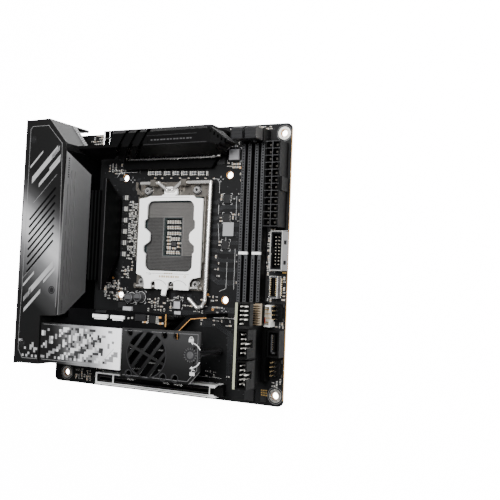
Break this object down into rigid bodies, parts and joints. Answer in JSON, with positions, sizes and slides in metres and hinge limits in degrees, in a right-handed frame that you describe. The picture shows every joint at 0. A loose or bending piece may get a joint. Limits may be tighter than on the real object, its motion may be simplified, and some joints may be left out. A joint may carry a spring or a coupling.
{
  "type": "motherboard",
  "caption": "Small square computer motherboard with processor socket, lever, memory and card slots, heatsinks, rear port block, upright header card and stacked drive module.",
  "frame": {"origin": "axis of the rear lower mounting hole at the underside of the circuit board", "axes": "+X from the rear port edge to the front edge, +Y from the card slot edge to the processor edge, +Z out of the component side"},
  "size_m": [0.1778, 0.1734, 0.0456],
  "materials": {
    "board_mask": "satin dark solder mask",
    "card_mask": "satin dark solder mask with pale edge",
    "plated_pad": "tinned plated ring",
    "socket_plastic": "matt",
    "socket_contact": "gold plated contact field",
    "socket_steel": "satin nickel plated",
    "lever_steel": "bright drawn wire",
    "backplate_steel": "black coated steel",
    "slot_plastic": "matt moulded",
    "key_plastic": "white moulded",
    "latch_plastic": "grey moulded",
    "shell_steel": "bright stamped",
    "connector_plastic": "matt moulded",
    "terminal_metal": "plated terminals",
    "pale_connector": "white moulded",
    "port_steel": "nickel plated",
    "port_plastic": "matt moulded",
    "shield_metal": "dark coated",
    "cover_metal": "dark anodised, fine blasted",
    "side_metal": "grey anodised",
    "heatsink_metal": "black anodised",
    "thermal_pad": "soft grey",
    "inductor_body": "moulded iron powder",
    "chip_body": "moulded",
    "capacitor_can": "satin can",
    "cell_steel": "satin",
    "drive_cover": "pale coated with darker pattern",
    "vent_metal": "grey coated",
    "knob_plastic": "dark moulded",
    "button_plastic": "moulded"
  },
  "bodies": {
    "board": {"pcb": "board_mask", "mounting_rings": "plated_pad", "socket_housing": "socket_plastic", "socket_contacts": "socket_contact", "socket_frame": "socket_steel", "socket_screws": "socket_steel", "socket_backplate": "backplate_steel", "socket_rod": "lever_steel", "dimm_slot_a": "slot_plastic", "dimm_slot_b": "slot_plastic", "dimm_keys": "key_plastic", "pcie_slot_body": "slot_plastic", "pcie_slot_shell": "shell_steel", "atx_power_connector": "connector_plastic", "atx_power_pins": "terminal_metal", "cpu_power_connector": "connector_plastic", "usb_header_shell": "shell_steel", "usb_header_pins": "terminal_metal", "usb_c_header": "shell_steel", "front_panel_card": "card_mask", "card_box_headers": "connector_plastic", "card_header_pins": "terminal_metal", "card_pin_header": "terminal_metal", "card_base_connector": "connector_plastic", "sata_port": "connector_plastic", "fan_headers": "connector_plastic", "pump_header": "pale_connector", "io_shield": "shield_metal", "io_cover": "cover_metal", "io_side_panel": "side_metal", "usb_a_ports": "port_steel", "lan_port": "port_steel", "usb_c_ports": "port_steel", "video_port": "port_steel", "audio_jacks": "port_plastic", "antenna_jacks": "terminal_metal", "button_housing": "port_plastic", "vrm_heatsink_left": "heatsink_metal", "vrm_heatsink_top": "heatsink_metal", "vrm_thermal_pads": "thermal_pad", "vrm_inductors": "inductor_body", "vrm_power_stages": "chip_body", "small_chips": "chip_body", "capacitors": "capacitor_can", "chipset": "chip_body", "coin_cell": "cell_steel", "m2_lower_board": "card_mask", "m2_lower_heatsink": "heatsink_metal", "m2_upper_board": "card_mask", "m2_sockets": "slot_plastic"},
    "load_plate": {"socket_load_plate": "socket_steel"},
    "lever": {"socket_lever": "lever_steel"},
    "latch_a": {"dimm_latch_a": "latch_plastic"},
    "latch_b": {"dimm_latch_b": "latch_plastic"},
    "card_latch": {"pcie_latch": "connector_plastic"},
    "drive_cover": {"m2_cover_plate": "drive_cover", "m2_vent_plate": "vent_metal"},
    "knob": {"m2_latch_knob": "knob_plastic"},
    "bios_button": {"bios_button": "button_plastic"},
    "clear_button": {"clear_cmos_button": "button_plastic"}
  },
  "joints": [
    {"name": "lever_hinge", "type": "hinge", "parent": "board", "child": "lever", "pos_m": [0.07864, 0.12825, 0.0065], "axis": [-1, 0, 0], "range_deg": [0, 112]},
    {"name": "load_plate_hinge", "type": "hinge", "parent": "board", "child": "load_plate", "pos_m": [0.07864, 0.12485, 0.0041], "axis": [-1, 0, 0], "range_deg": [0, 84]},
    {"name": "memory_latch_a", "type": "hinge", "parent": "board", "child": "latch_a", "pos_m": [0.13394, 0.15465, 0.0061], "axis": [-1, 0, 0], "range_deg": [0, 26]},
    {"name": "memory_latch_b", "type": "hinge", "parent": "board", "child": "latch_b", "pos_m": [0.14274, 0.15465, 0.0061], "axis": [-1, 0, 0], "range_deg": [0, 26]},
    {"name": "card_latch_hinge", "type": "hinge", "parent": "board", "child": "card_latch", "pos_m": [0.12184, 0.00005, 0.0038], "axis": [0, 1, 0], "range_deg": [0, 24]},
    {"name": "cover_lift", "type": "slide", "parent": "board", "child": "drive_cover", "axis": [0, 0, 1], "range_m": [0, 0.05]},
    {"name": "knob_turn", "type": "hinge", "parent": "drive_cover", "child": "knob", "pos_m": [0.11904, 0.02365, 0.0406], "axis": [0, 0, -1], "range_deg": [0, 90]},
    {"name": "bios_press", "type": "slide", "parent": "board", "child": "bios_button", "axis": [1, 0, 0], "range_m": [0, 0.0008], "stiffness_N_per_m": 400},
    {"name": "clear_press", "type": "slide", "parent": "board", "child": "clear_button", "axis": [1, 0, 0], "range_m": [0, 0.0008], "stiffness_N_per_m": 400}
  ],
  "couplings": [
    {"joint": "load_plate_hinge", "follows": "lever_hinge", "ratio": 0.75}
  ]
}
